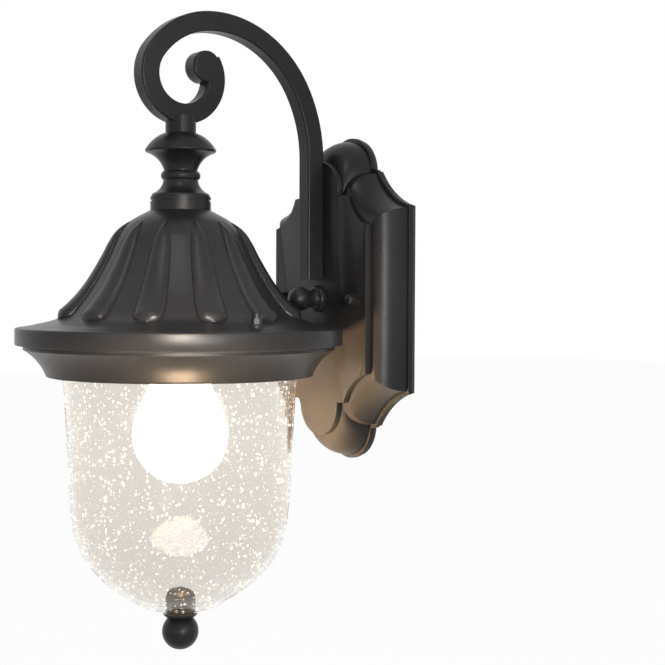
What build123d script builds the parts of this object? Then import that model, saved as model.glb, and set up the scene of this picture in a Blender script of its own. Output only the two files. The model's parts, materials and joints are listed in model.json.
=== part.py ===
from build123d import *
import math
import os

# Outdoor wall lantern: a lobed roof and a seeded glass globe hang from a scroll arm on a wall plate.
# Millimetres. The wall is the plane Y = 0, the lantern stands out along -Y, +Z is up, and the origin
# is the middle of the two box-screw slots.

# Lantern axis and wall plate depths
AXIS_Y = -139.0
PLATE_FRONT_Y = -32.0
PANEL_STEP = 4.5
LIP_FRONT = 6.0
GASKET_DEPTH = 3.0
PLATE_WALL = 3.0
PANEL_WALL = 3.8

# Plate outlines: half width, corner height, notch outer x and z, notch inner x and z, crown height
PANEL_OUTLINE = (52.0, 48.4, 28.4, 68.4, 21.0, 69.0, 92.2)
REAR_OUTLINE = (64.5, 61.6, 30.0, 86.2, 24.6, 87.5, 109.6)
INSET_SHARE = (1.0, 0.5, 0.5, 1.0, 1.0, 1.0, 1.0)
CORNER_SAG = 4.0
BORDER_STATIONS = 6
# The border meets the lip a little inside its edge, which leaves a narrow ledge all round
BORDER_SPREAD = 0.86
GASKET_INSET = (1.0, 7.5)

# Wall fixing
BOX_SCREW_SPACING = 88.9
SLOT_LENGTH = 14.0
SLOT_R = 2.4
CROSS_THICK = 2.0
CROSS_ARM_X = (100.0, 16.0)
CROSS_ARM_Z = (20.0, 114.0)
CROSS_CORNER_R = 4.0
STUD_X = 42.5
STUD_R = 2.0
STUD_END_Y = -38.0
STUD_CHAMFER = 0.5
STUD_ROOM = 0.4
CAP_NUT_FLATS = 8.0
CAP_NUT_HEX = 3.6
CAP_NUT_BORE = 6.6
CAP_DOME_SHARE = 0.96
CAP_DOME_RISE = 0.55
LOCK_NUT_FLATS = 7.0
LOCK_NUT_THICK = 3.2
GROUND_SCREW_X = 24.0
GROUND_HEAD_FLATS = 7.2
GROUND_HEAD_THICK = 3.0
GROUND_SLOT = (9.0, 1.0)
GROUND_SLOT_DEPTH = 1.2
FIT = 0.05

# Centre knob on the plate: the flange's rim, shoulder and front edge, then the neck, as (radius, y)
KNOB_RIM = (9.0, -34.2)
KNOB_SHOULDER = (8.2, -35.6)
KNOB_FRONT = (6.6, -36.2)
KNOB_NECK = (5.6, -38.6)
KNOB_BALL_R = 8.0
KNOB_BALL_Y = -47.5
KNOB_STUD_LENGTH = 8.5

# Scroll arm: foot height, first bend height, then (radius, degrees) of each arc to the scroll's eye
BAR_X = 11.8
BAR_DEPTH = 12.6
BAR_ROUND = 1.3
ARM_FOOT_Z = 13.0
ARM_BEND_Z = 93.1
OUTER_ARCS = ((92.0, 29.0), (75.0, 21.0))
TOP_TURN = 45.0
LOOP_ARCS = ((53.0, 48.0), (24.2, 127.0))
EYE_ARCS = ((23.2, 90.0), (20.0, 34.0))
EYE_DISC_R = 10.0
EYE_DISC_WIDTH = 12.6
EYE_DISC_ROUND = 1.6
EYE_DISC_Y = 16.0
EYE_DISC_Z = 146.8
ARM_BOSS_R = 9.6
ARM_BOSS_Z = (104.2, 114.8)
ARM_SCREW_Z = (21.0, 37.0)
ARM_SCREW_DEPTH = 7.5
ARM_SCREW_HEAD = (3.6, 2.4)
ARM_SCREW_ROOM = 0.2
TIP_GAP = 0.5
WIRE_HOLE_Z = 54.0
WIRE_BORE_R = 3.0
WIRE_HOLE_ROOM = 0.6
WIRE_PORT_DEPTH = 5.2

# Neck
NIPPLE_R = 4.85
NIPPLE_BORE_R = 3.2
NIPPLE_Z = (17.0, 113.0)
NECK_FOOT_Z = 64.0
# Spindle arcs from its top to its foot, each as three (radius, height) points
NECK_ARCS = (
    ((9.6, 104.2), (16.8, 100.2), (21.7, 94.4)), ((21.7, 94.4), (22.3, 93.2), (21.5, 92.0)),
    ((21.5, 92.0), (14.2, 87.4), (10.6, 81.2)), ((10.6, 80.4), (12.4, 77.6), (10.9, 74.6)),
    ((10.9, 74.6), (12.4, 70.4), (16.9, 66.4)), ((16.9, 66.4), (18.1, 65.4), (18.3, 64.0)),
)
COLLAR_R = 19.0
COLLAR_GROOVE_Z = (61.3, 62.4)
COLLAR_GROOVE_DEPTH = 0.8
ROOF_TOP_Z = 55.7
NUT_FLATS = 14.0
NUT_THICK = 3.5
ROOF_WASHER = (12.0, 1.6)

# Roof: band profile as (radius, height) from the collar to the brim edge
ROOF_PROFILE = (
    (19.0, 55.7), (31.6, 48.6), (39.4, 40.8), (43.7, 33.2), (47.4, 25.6),
    (56.2, 10.3), (64.4, -1.1), (75.0, -11.5), (91.7, -16.3), (101.5, -17.9),
)
ROOF_WALL = 3.4
ROOF_INNER_TOP_R = 14.0
FASCIA_R = 102.3
FASCIA_TOP_Z = -19.3
FASCIA_FOOT_Z = -28.5
FASCIA_INNER_R = 95.0
FASCIA_INNER_Z = -20.7
LOBE_COUNT = 12
LOBE_HALF_ANGLE = 7.9
# Lobe stations: radius, height on the band, share of full width, proud height
LOBE_STATIONS = (
    (33.0, 47.6, 0.16, 0.4), (37.9, 42.6, 0.62, 1.8), (43.7, 33.2, 0.92, 2.8), (49.1, 22.3, 1.0, 3.0),
    (56.2, 10.3, 1.0, 3.2), (64.4, -1.1, 1.0, 3.8), (70.0, -7.4, 0.98, 4.6), (73.8, -10.6, 0.84, 4.2),
    (76.2, -12.0, 0.42, 1.8),
)
LOBE_ROOT = 2.4

# Two ring studs with cap nuts on the brim
RING_STUD_X = 87.7
RING_STUD_R = 1.5
RING_STUD_ROOM = 0.3
RING_STUD_DEPTH = 6.5
RING_BOSS_R = 3.7
RING_BOSS_TOP_Z = -13.6
RING_NUT_FLATS = 5.5
RING_NUT_HEX = 3.0
RING_NUT_BORE = 5.8

# Globe ring, under the roof: the cove and its toe are arcs through three (radius, height) points
RING_TOP_Z = -29.5
RING_TOP_R = 97.4
RING_COVE = ((97.4, -31.3), (88.3, -39.2), (83.8, -46.9))
RING_TOE = ((83.8, -46.9), (83.5, -47.8), (82.6, -48.2))
RING_LIP_R = 75.6
RING_LEDGE_Z = -45.0
RING_FOOT_Z = -48.2
RING_POCKET_R = 81.4
SNAP_GROOVE_R = 82.5
SNAP_GROOVE_Z = (-40.3, -38.3)
SNAP_RING_R = (78.6, 82.4)
SNAP_RING_Z = (-40.3, -38.5)
SNAP_RING_ARC = 346.0
GASKET_ROOM = 0.3

# Globe
GLASS_WALL = 3.2
GLASS_FLANGE_R = 80.2
GLASS_FLANGE_Z = (-44.2, -40.4)
GLOBE_PROFILE = (
    (74.6, -47.0), (73.0, -54.0), (70.5, -107.7), (69.2, -130.0), (66.6, -147.0), (59.5, -164.0),
    (46.8, -178.5), (28.3, -191.5), (13.0, -197.6),
)
GLOBE_FOOT_Z = -198.2
GLOBE_FLAT_R = 10.0
GLOBE_HOLE_R = 3.2
CUSHION_ROOM = 0.4

# Finial under the globe
FINIAL_WASHER = (8.8, 0.8)
FINIAL_FLANGE_R = 10.7
FINIAL_RIM = 1.0
FINIAL_COVE = (1.2, 2.2)
FINIAL_NECK_R = 8.0
FINIAL_BALL_R = 11.6
FINIAL_BALL_Z = -210.8
FINIAL_STUD_R = 2.4
FINIAL_STUD_REACH = 8.0
FINIAL_NUT_R = 9.4
FINIAL_NUT_TOP_Z = -183.5
FINIAL_NUT_DOME = 3.2
FINIAL_NUT_STEP = (0.8, 0.6, 1.2)
WASHER_ROOM = 0.2

# Socket and bulb, base up
SOCKET_R = 19.5
SOCKET_Z = (-31.0, 14.0)
SOCKET_BORE_R = 14.6
SOCKET_WEB_Z = (-5.0, 2.0)
SCREW_SHELL_R = (13.25, 14.1)
SCREW_SHELL_FOOT_Z = -28.0
SHELL_RIM = (7.5, 0.8)
CONTACT_DISC = (5.0, 0.9)
CONTACT_PIN = (1.5, 1.4)
CAP_TOP_Z = 22.0
CAP_FOOT_Z = 7.0
CAP_WALL = 1.2
CAP_ROOM = 0.2
TERMINAL_X = 9.6
TERMINAL_SCREW = (1.5, 5.5)
TERMINAL_HEAD = (2.6, 7.0)
TERMINAL_HOLE_R = 1.6
BULB_TIP_Z = -116.0
BULB_R = 30.0
BULB_WIDE_Z = -86.0
BULB_NECK_R = 13.0
BULB_NECK_FLARE = (0.6, 5.0)
# Shoulder of the envelope between its neck and its widest ring, as (radius, height)
BULB_SHOULDER = ((21.6, -59.0), (28.0, -74.0))
BULB_GLASS = 0.8
BULB_CAP_Z = (-32.0, -10.5)
BULB_CAP_R = 12.5
BULB_CAP_WALL = 0.6
BULB_CAP_PLAIN = 3.0
BULB_CONTACT = (4.6, 1.4)
BULB_CONTACT_Z = -6.2
INSULATOR_TOP_R = 5.6
STEM_FLARE = (9.0, -34.0, -24.5)
STEM_ROD = (3.4, -66.0, -32.0)
CAP_THREADS = 5
FILAMENT_R = 0.4
FILAMENT_X = (2.0, 12.0)
FILAMENT_Z = (-66.5, -84.0, -88.0)
FILAMENT_BEND_R = 3.0
LEAD_R = 1.15
LEAD_X = 1.25
LEAD_ELBOW_R = 5.0
LEAD_TURN_R = 8.0
LEAD_TAIL_R = 4.0
LEAD_END_X = 6.8
TERMINAL_LEAD_RISE = 4.0
CONNECTOR_Y = -15.0
CONNECTOR_X = (15.0, 37.0)
CONNECTOR_R = 5.4
CONNECTOR_TAPER = 5.0
CONNECTOR_BORE = 8.4
LEAD_INSERT = 8.0
SCREW_HEAD_TAPER = 14.0

lantern_axis = Axis((0, AXIS_Y, 0), (0, 0, 1))
lantern_side = Plane(origin=(0, AXIS_Y, 0), x_dir=(1, 0, 0), z_dir=(0, -1, 0))
pieces = {}


def at_height(z):
    """A level plane on the lantern's axis."""
    return Plane(origin=(0, AXIS_Y, z))


def wall_plane(depth):
    """A plane parallel to the wall, facing out, at this distance from it."""
    return Plane.XZ.offset(depth)


def section_box(inner_r, outer_r, low_z, high_z, mode=Mode.ADD):
    """A rectangle in the radius and height of a turned piece."""
    with Locations(((inner_r + outer_r) / 2, (low_z + high_z) / 2)):
        Rectangle(outer_r - inner_r, high_z - low_z, mode=mode)


def dome_arc(rim_r, rim_z, top_z):
    """An arc from a rim up to the axis, centred on the axis."""
    rise = top_z - rim_z
    radius = (rim_r**2 + rise**2) / (2 * rise)
    half_angle = math.asin(rim_r / radius) / 2
    halfway = (radius * math.sin(half_angle), top_z - radius * (1 - math.cos(half_angle)))
    ThreePointArc((rim_r, rim_z), halfway, (0, top_z))


def turned_ring(inner_r, outer_r, low_z, high_z):
    """A plain ring about the lantern's axis."""
    with BuildPart() as ring:
        with BuildSketch(lantern_side):
            section_box(inner_r, outer_r, low_z, high_z)
        revolve(axis=lantern_axis)
    return ring.part


def hex_nut(planes, flats, bore_r, thickness):
    """Plain hexagon nuts standing on the given planes."""
    with BuildPart() as nuts:
        for plane in planes:
            with BuildSketch(plane):
                RegularPolygon(radius=flats / 2, side_count=6, major_radius=False)
                Circle(bore_r, mode=Mode.SUBTRACT)
            extrude(amount=thickness)
    return nuts.part


def cap_nut(plane, flats, hex_height, bore_r, bore_depth):
    """A domed cap nut with a blind bore, standing on a plane."""
    dome_r = flats / 2 * CAP_DOME_SHARE
    with BuildPart() as nut:
        with BuildSketch(plane):
            RegularPolygon(radius=flats / 2, side_count=6, major_radius=False)
        extrude(amount=hex_height)
        with Locations(plane.offset(hex_height)):
            Cylinder(dome_r, bore_depth - hex_height, align=(Align.CENTER, Align.CENTER, Align.MIN))
        with Locations(plane.offset(bore_depth - dome_r * (1 - CAP_DOME_RISE))):
            Sphere(dome_r)
        with BuildSketch(plane):
            Circle(bore_r)
        extrude(amount=bore_depth, mode=Mode.SUBTRACT)
    return nut.part


def pan_screws(planes, shank_r, shank_length, head_r, head_height):
    """Pan-head screws: heads stand on the planes, shanks run the other way."""
    with BuildPart() as screws:
        for plane in planes:
            with BuildSketch(plane):
                Circle(head_r)
            extrude(amount=head_height, taper=SCREW_HEAD_TAPER)
            with BuildSketch(plane):
                Circle(shank_r)
            extrude(amount=-shank_length)
    return screws.part


# Wall plate


def plate_face(depth, spread, inset=0.0):
    """The plate's outline at a depth, from the panel (spread 0) to the rear edge (spread 1), drawn in."""
    sizes = [
        near + (far - near) * spread - inset * share
        for near, far, share in zip(PANEL_OUTLINE, REAR_OUTLINE, INSET_SHARE)
    ]
    half_width, corner_z, notch_x, notch_z, arch_x, arch_z, crown_z = sizes
    chord = math.hypot(half_width - notch_x, notch_z - corner_z)
    sag_x = (half_width + notch_x) / 2 - CORNER_SAG * (notch_z - corner_z) / chord
    sag_z = (corner_z + notch_z) / 2 - CORNER_SAG * (half_width - notch_x) / chord
    with BuildSketch(wall_plane(depth)) as outline:
        with BuildLine():
            Line((half_width, 0), (half_width, corner_z))
            ThreePointArc((half_width, corner_z), (sag_x, sag_z), (notch_x, notch_z))
            Line((notch_x, notch_z), (arch_x, arch_z))
            ThreePointArc((arch_x, arch_z), (0, crown_z), (-arch_x, arch_z))
            Line((-arch_x, arch_z), (-notch_x, notch_z))
            ThreePointArc((-notch_x, notch_z), (-sag_x, sag_z), (-half_width, corner_z))
            Line((-half_width, corner_z), (-half_width, 0))
            mirror(about=Plane.XZ)
        make_face()
    return outline.sketch


def border_faces(inset=0.0):
    """Sections of the plate's rounded border, from the foot of the panel out to the lip."""
    front = -PLATE_FRONT_Y - PANEL_STEP - inset
    faces = []
    for station in range(BORDER_STATIONS):
        angle = math.radians(90 * station / (BORDER_STATIONS - 1))
        depth = front - (front - LIP_FRONT) * (1 - math.cos(angle))
        faces.append(plate_face(depth, BORDER_SPREAD * math.sin(angle), inset))
    return faces


with BuildPart() as plate_hollow:
    loft(border_faces(PLATE_WALL))
    extrude(plate_face(-PLATE_FRONT_Y - PLATE_WALL, 0, PANEL_WALL), amount=-PANEL_STEP - PLATE_WALL)
    extrude(plate_face(GASKET_DEPTH, BORDER_SPREAD, PLATE_WALL), amount=LIP_FRONT - GASKET_DEPTH)

with BuildPart() as backplate:
    loft(border_faces())
    extrude(plate_face(-PLATE_FRONT_Y, 0), amount=-PANEL_STEP)
    extrude(plate_face(GASKET_DEPTH, 1), amount=LIP_FRONT - GASKET_DEPTH)
    add(plate_hollow.part, mode=Mode.SUBTRACT)
    with BuildSketch(wall_plane(-PLATE_FRONT_Y)):
        with Locations((-STUD_X, 0), (STUD_X, 0)):
            Circle(STUD_R + STUD_ROOM)
        with Locations([(0, z) for z in ARM_SCREW_Z]):
            Circle(STUD_R + ARM_SCREW_ROOM)
        with Locations((0, WIRE_HOLE_Z)):
            Circle(WIRE_BORE_R + WIRE_HOLE_ROOM)
        Circle(STUD_R + FIT)
    extrude(amount=-PANEL_STEP, mode=Mode.SUBTRACT)
pieces["backplate"] = backplate.part

with BuildPart() as wall_gasket:
    extrude(plate_face(0, 1, GASKET_INSET[0]), amount=GASKET_DEPTH)
    extrude(plate_face(0, 1, GASKET_INSET[1]), amount=GASKET_DEPTH, mode=Mode.SUBTRACT)
pieces["wall_gasket"] = wall_gasket.part

with BuildPart() as mounting_cross:
    with BuildSketch(wall_plane(0)):
        RectangleRounded(*CROSS_ARM_X, CROSS_CORNER_R)
        RectangleRounded(*CROSS_ARM_Z, CROSS_CORNER_R)
        with Locations((0, BOX_SCREW_SPACING / 2), (0, -BOX_SCREW_SPACING / 2)):
            SlotOverall(SLOT_LENGTH, 2 * SLOT_R, rotation=90, mode=Mode.SUBTRACT)
        with Locations((-STUD_X, 0), (STUD_X, 0)):
            Circle(STUD_R + FIT, mode=Mode.SUBTRACT)
        with Locations((GROUND_SCREW_X, 0)):
            Circle(STUD_R + FIT, mode=Mode.SUBTRACT)
    extrude(amount=CROSS_THICK)
pieces["mounting_cross"] = mounting_cross.part

with BuildPart() as mounting_studs:
    with BuildSketch(wall_plane(0)):
        with Locations((-STUD_X, 0), (STUD_X, 0)):
            Circle(STUD_R)
    extrude(amount=-STUD_END_Y)
    chamfer(mounting_studs.edges().sort_by(Axis.Y)[:2], STUD_CHAMFER)
pieces["mounting_studs"] = mounting_studs.part

stud_sides = {"left": -STUD_X, "right": STUD_X}
lock_planes = [
    Plane(origin=(x, -CROSS_THICK, 0), x_dir=(1, 0, 0), z_dir=(0, -1, 0)) for x in stud_sides.values()
]
pieces["stud_lock_nuts"] = hex_nut(lock_planes, LOCK_NUT_FLATS, STUD_R + FIT, LOCK_NUT_THICK)
for side, x in stud_sides.items():
    seat = Plane(origin=(x, PLATE_FRONT_Y, 0), x_dir=(1, 0, 0), z_dir=(0, -1, 0))
    pieces["plate_nut_" + side] = cap_nut(seat, CAP_NUT_FLATS, CAP_NUT_HEX, STUD_R + FIT, CAP_NUT_BORE)

with BuildPart() as ground_screw:
    with BuildSketch(wall_plane(0)):
        with Locations((GROUND_SCREW_X, 0)):
            Circle(STUD_R)
    extrude(amount=CROSS_THICK)
    with BuildSketch(wall_plane(CROSS_THICK)):
        with Locations((GROUND_SCREW_X, 0)):
            RegularPolygon(radius=GROUND_HEAD_FLATS / 2, side_count=6, major_radius=False)
    extrude(amount=GROUND_HEAD_THICK)
    with BuildSketch(wall_plane(CROSS_THICK + GROUND_HEAD_THICK)):
        with Locations((GROUND_SCREW_X, 0)):
            Rectangle(*GROUND_SLOT)
    extrude(amount=-GROUND_SLOT_DEPTH, mode=Mode.SUBTRACT)
pieces["ground_screw"] = ground_screw.part

# Centre knob: a turned ball on a flange, held by a nut inside the plate

with BuildPart() as center_knob:
    neck_r = KNOB_NECK[0]
    ball_back = (neck_r, KNOB_BALL_Y + math.sqrt(KNOB_BALL_R**2 - neck_r**2))
    ball_front = (0, KNOB_BALL_Y - KNOB_BALL_R)
    with BuildSketch(Plane.XY):
        with BuildLine():
            Polyline(ball_front, (0, PLATE_FRONT_Y), (KNOB_RIM[0], PLATE_FRONT_Y), KNOB_RIM)
            ThreePointArc(KNOB_RIM, KNOB_SHOULDER, KNOB_FRONT)
            Polyline(KNOB_FRONT, KNOB_NECK, ball_back)
            ThreePointArc(ball_back, (KNOB_BALL_R, KNOB_BALL_Y), ball_front)
        make_face()
    revolve(axis=Axis.Y)
    with BuildSketch(wall_plane(-PLATE_FRONT_Y)):
        Circle(STUD_R)
    extrude(amount=-KNOB_STUD_LENGTH)
pieces["center_knob"] = center_knob.part
knob_nut_plane = wall_plane(-PLATE_FRONT_Y - PLATE_WALL - LOCK_NUT_THICK)
pieces["knob_nut"] = hex_nut([knob_nut_plane], LOCK_NUT_FLATS, STUD_R + FIT, LOCK_NUT_THICK)

# Scroll arm: a square bar bent from the plate over the lantern and curled into a round eye


def after_arcs(start, heading, arcs):
    """Where a chain of tangent arcs ends, and its heading there; a negative turn bends to the right."""
    y, z = start
    for radius, turn in arcs:
        bend = math.copysign(radius, turn)
        first, last = math.radians(heading), math.radians(heading + turn)
        y += bend * (math.sin(last) - math.sin(first))
        z += bend * (math.cos(first) - math.cos(last))
        heading += turn
    return (y, z), heading


def draw_arcs(start, heading, arcs):
    """Draws a chain of tangent arcs and returns where it ends."""
    for radius, turn in arcs:
        way = (math.cos(math.radians(heading)), math.sin(math.radians(heading)))
        JernArc(start, way, radius, turn)
        start, heading = after_arcs(start, heading, ((radius, turn),))
    return start


bar_y = PLATE_FRONT_Y - BAR_DEPTH / 2
bend_start = (bar_y, ARM_BEND_Z)
top_start, top_heading = after_arcs(bend_start, 90, OUTER_ARCS)
unit_end, loop_heading = after_arcs((0, 0), top_heading, ((1.0, TOP_TURN),))
loop_span, _ = after_arcs((0, 0), loop_heading, LOOP_ARCS)
# The top arc's radius is what brings the lowest point of the loop over the lantern's axis
top_radius = (AXIS_Y - top_start[0] - loop_span[0]) / unit_end[0]
wire_arcs = (*OUTER_ARCS, (top_radius, TOP_TURN), *LOOP_ARCS)
loop_low, _ = after_arcs(bend_start, 90, wire_arcs)


with BuildPart() as scroll_arm:
    with Locations(Location((0, AXIS_Y + EYE_DISC_Y, EYE_DISC_Z), (0, 90, 0))):
        Cylinder(EYE_DISC_R, EYE_DISC_WIDTH)
    fillet(scroll_arm.edges().filter_by(GeomType.CIRCLE), EYE_DISC_ROUND)
    with BuildLine(Plane.YZ):
        Line((bar_y, ARM_FOOT_Z), bend_start)
        draw_arcs(bend_start, 90, (*wire_arcs, *EYE_ARCS))
    with BuildSketch(Plane(origin=(0, bar_y, ARM_FOOT_Z))):
        RectangleRounded(BAR_X, BAR_DEPTH, BAR_ROUND)
    sweep()
    with BuildSketch(at_height(ARM_BOSS_Z[0])):
        Circle(ARM_BOSS_R)
    extrude(amount=ARM_BOSS_Z[1] - ARM_BOSS_Z[0])
    with BuildLine(Plane.YZ):
        Line((bar_y, WIRE_HOLE_Z), bend_start)
        draw_arcs(bend_start, 90, wire_arcs)
    with BuildSketch(Plane(origin=(0, bar_y, WIRE_HOLE_Z))):
        Circle(WIRE_BORE_R)
    sweep(mode=Mode.SUBTRACT)
    with Locations((0, bar_y, WIRE_HOLE_Z)):
        Sphere(WIRE_BORE_R, mode=Mode.SUBTRACT)
    with BuildSketch(wall_plane(-PLATE_FRONT_Y)):
        with Locations((0, WIRE_HOLE_Z)):
            Circle(WIRE_BORE_R)
    extrude(amount=BAR_DEPTH / 2, mode=Mode.SUBTRACT)
    with BuildSketch(wall_plane(-PLATE_FRONT_Y)):
        with Locations([(0, z) for z in ARM_SCREW_Z]):
            Circle(STUD_R + FIT)
    extrude(amount=ARM_SCREW_DEPTH, mode=Mode.SUBTRACT)
    with BuildSketch(at_height(ARM_BOSS_Z[0])):
        Circle(NIPPLE_R + FIT)
    extrude(amount=NIPPLE_Z[1] + FIT - ARM_BOSS_Z[0], mode=Mode.SUBTRACT)
    with BuildSketch(at_height(NIPPLE_Z[1])):
        Circle(NIPPLE_BORE_R)
    extrude(amount=WIRE_PORT_DEPTH, mode=Mode.SUBTRACT)
pieces["scroll_arm"] = scroll_arm.part

screw_seats = [
    Plane(origin=(0, PLATE_FRONT_Y + PLATE_WALL, z), x_dir=(1, 0, 0), z_dir=(0, 1, 0)) for z in ARM_SCREW_Z
]
arm_screw_length = PLATE_WALL + ARM_SCREW_DEPTH - TIP_GAP
pieces["arm_screws"] = pan_screws(screw_seats, STUD_R, arm_screw_length, *ARM_SCREW_HEAD)

# Neck: turned spindle, collar, and the threaded pipe that draws the stack together

with BuildPart() as neck_spindle:
    bore = NIPPLE_R + FIT
    neck_top, neck_foot = NECK_ARCS[0][0], NECK_ARCS[-1][-1]
    with BuildSketch(lantern_side):
        with BuildLine():
            Polyline(neck_foot, (bore, neck_foot[1]), (bore, neck_top[1]), neck_top)
            for start, middle, end in NECK_ARCS:
                ThreePointArc(start, middle, end)
            Line(NECK_ARCS[2][-1], NECK_ARCS[3][0])
        make_face()
    revolve(axis=lantern_axis)
pieces["neck_spindle"] = neck_spindle.part

with BuildPart() as roof_collar:
    with BuildSketch(lantern_side):
        section_box(NIPPLE_R + FIT, COLLAR_R, ROOF_TOP_Z, NECK_FOOT_Z)
        section_box(COLLAR_R - COLLAR_GROOVE_DEPTH, COLLAR_R, *COLLAR_GROOVE_Z, mode=Mode.SUBTRACT)
    revolve(axis=lantern_axis)
pieces["roof_collar"] = roof_collar.part

pieces["nipple"] = turned_ring(NIPPLE_BORE_R, NIPPLE_R, *NIPPLE_Z)
roof_inner_top = ROOF_TOP_Z - ROOF_WALL
washer_foot = roof_inner_top - ROOF_WASHER[1]
pieces["roof_washer"] = turned_ring(NIPPLE_R + FIT, ROOF_WASHER[0], washer_foot, roof_inner_top)
nut_heights = (washer_foot - NUT_THICK, CAP_TOP_Z, CAP_TOP_Z - CAP_WALL - NUT_THICK)
pieces["nipple_nuts"] = hex_nut([at_height(z) for z in nut_heights], NUT_FLATS, NIPPLE_R + FIT, NUT_THICK)

# Roof: a turned bell with a brim, raised lobes all round and two bosses for the ring studs


def drawn_in(points, wall):
    """The points of a profile moved inwards by a wall thickness."""
    moved = []
    for index, (r, z) in enumerate(points):
        before = points[max(index - 1, 0)]
        after = points[min(index + 1, len(points) - 1)]
        along_r, along_z = after[0] - before[0], after[1] - before[1]
        length = math.hypot(along_r, along_z)
        moved.append((r + along_z / length * wall, z - along_r / length * wall))
    return moved


with BuildPart() as lobe:
    for index, (r, z, width_share, proud) in enumerate(LOBE_STATIONS):
        before = LOBE_STATIONS[max(index - 1, 0)]
        after = LOBE_STATIONS[min(index + 1, len(LOBE_STATIONS) - 1)]
        along = Vector(after[0] - before[0], 0, after[1] - before[1])
        half_width = r * math.tan(math.radians(LOBE_HALF_ANGLE)) * width_share
        out = along.normalized().rotate(Axis.Y, -90) * (proud - LOBE_ROOT) / 2
        with BuildSketch(Plane(origin=(r + out.X, 0, z + out.Z), x_dir=(0, 1, 0), z_dir=along)):
            Ellipse(half_width, (proud + LOBE_ROOT) / 2)
    loft()

with BuildPart() as roof:
    inner_points = drawn_in(ROOF_PROFILE, ROOF_WALL)[:-1]
    inner_points[0] = (ROOF_INNER_TOP_R, roof_inner_top)
    inner_edge = (FASCIA_INNER_R, FASCIA_INNER_Z)
    bore = NIPPLE_R + FIT
    with BuildSketch(lantern_side):
        with BuildLine():
            Spline(*ROOF_PROFILE)
            Polyline(
                ROOF_PROFILE[-1], (FASCIA_R, FASCIA_TOP_Z), (FASCIA_R, FASCIA_FOOT_Z),
                (FASCIA_INNER_R, FASCIA_FOOT_Z), inner_edge,
            )
            Spline(inner_edge, *reversed(inner_points))
            Polyline(inner_points[0], (bore, roof_inner_top), (bore, ROOF_TOP_Z), ROOF_PROFILE[0])
        make_face()
    revolve(axis=lantern_axis)
    with Locations((0, AXIS_Y, 0)):
        with PolarLocations(0, LOBE_COUNT, start_angle=180 / LOBE_COUNT):
            add(lobe.part)
    for x in (-RING_STUD_X, RING_STUD_X):
        with BuildSketch(Plane(origin=(x, AXIS_Y, FASCIA_FOOT_Z))):
            Circle(RING_BOSS_R)
        extrude(amount=RING_BOSS_TOP_Z - FASCIA_FOOT_Z)
        with BuildSketch(Plane(origin=(x, AXIS_Y, FASCIA_FOOT_Z))):
            Circle(RING_STUD_R + RING_STUD_ROOM)
        extrude(amount=RING_BOSS_TOP_Z - FASCIA_FOOT_Z, mode=Mode.SUBTRACT)
pieces["roof"] = roof.part

# Globe ring: the cove moulding under the roof, with its studs, nuts and gasket

with BuildPart() as globe_ring:
    with BuildSketch(lantern_side):
        with BuildLine():
            Line((RING_TOP_R, RING_TOP_Z), RING_COVE[0])
            ThreePointArc(*RING_COVE)
            ThreePointArc(*RING_TOE)
            Polyline(
                RING_TOE[-1], (RING_LIP_R, RING_FOOT_Z), (RING_LIP_R, RING_LEDGE_Z),
                (RING_POCKET_R, RING_LEDGE_Z), (RING_POCKET_R, RING_TOP_Z), (RING_TOP_R, RING_TOP_Z),
            )
        make_face()
        section_box(RING_POCKET_R, SNAP_GROOVE_R, *SNAP_GROOVE_Z, mode=Mode.SUBTRACT)
    revolve(axis=lantern_axis)
    with BuildSketch(at_height(RING_TOP_Z)):
        with Locations((-RING_STUD_X, 0), (RING_STUD_X, 0)):
            Circle(RING_STUD_R + FIT)
    extrude(amount=-RING_STUD_DEPTH, mode=Mode.SUBTRACT)
pieces["globe_ring"] = globe_ring.part

ring_stud_foot = RING_TOP_Z - RING_STUD_DEPTH + TIP_GAP
ring_stud_top = RING_BOSS_TOP_Z + RING_NUT_BORE - TIP_GAP
with BuildPart() as ring_studs:
    with BuildSketch(at_height(ring_stud_foot)):
        with Locations((-RING_STUD_X, 0), (RING_STUD_X, 0)):
            Circle(RING_STUD_R)
    extrude(amount=ring_stud_top - ring_stud_foot)
pieces["ring_studs"] = ring_studs.part
for side, x in {"left": -RING_STUD_X, "right": RING_STUD_X}.items():
    seat = Plane(origin=(x, AXIS_Y, RING_BOSS_TOP_Z))
    bore_r = RING_STUD_R + FIT
    pieces["ring_nut_" + side] = cap_nut(seat, RING_NUT_FLATS, RING_NUT_HEX, bore_r, RING_NUT_BORE)
gasket_r = (FASCIA_INNER_R + GASKET_ROOM, RING_TOP_R - GASKET_ROOM)
pieces["ring_gasket"] = turned_ring(*gasket_r, RING_TOP_Z, FASCIA_FOOT_Z)

# Globe: a blown glass jar, flange up, held in the ring between a cushion and a snap ring

with BuildPart() as globe:
    inner_profile = drawn_in(GLOBE_PROFILE, GLASS_WALL)
    inner_foot = GLOBE_FOOT_Z + GLASS_WALL
    neck_r = GLOBE_PROFILE[0][0]
    flange_foot, flange_top = GLASS_FLANGE_Z
    with BuildSketch(lantern_side):
        with BuildLine():
            Polyline(
                GLOBE_PROFILE[0], (neck_r, flange_foot), (GLASS_FLANGE_R, flange_foot),
                (GLASS_FLANGE_R, flange_top), (neck_r - GLASS_WALL, flange_top), inner_profile[0],
            )
            Spline(*inner_profile)
            Polyline(
                inner_profile[-1], (GLOBE_FLAT_R, inner_foot), (GLOBE_HOLE_R, inner_foot),
                (GLOBE_HOLE_R, GLOBE_FOOT_Z), (GLOBE_FLAT_R, GLOBE_FOOT_Z), GLOBE_PROFILE[-1],
            )
            Spline(*reversed(GLOBE_PROFILE))
        make_face()
    revolve(axis=lantern_axis)
pieces["globe"] = globe.part
cushion_r = (RING_LIP_R + CUSHION_ROOM, GLASS_FLANGE_R)
pieces["globe_cushion"] = turned_ring(*cushion_r, RING_LEDGE_Z, GLASS_FLANGE_Z[0])

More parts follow.
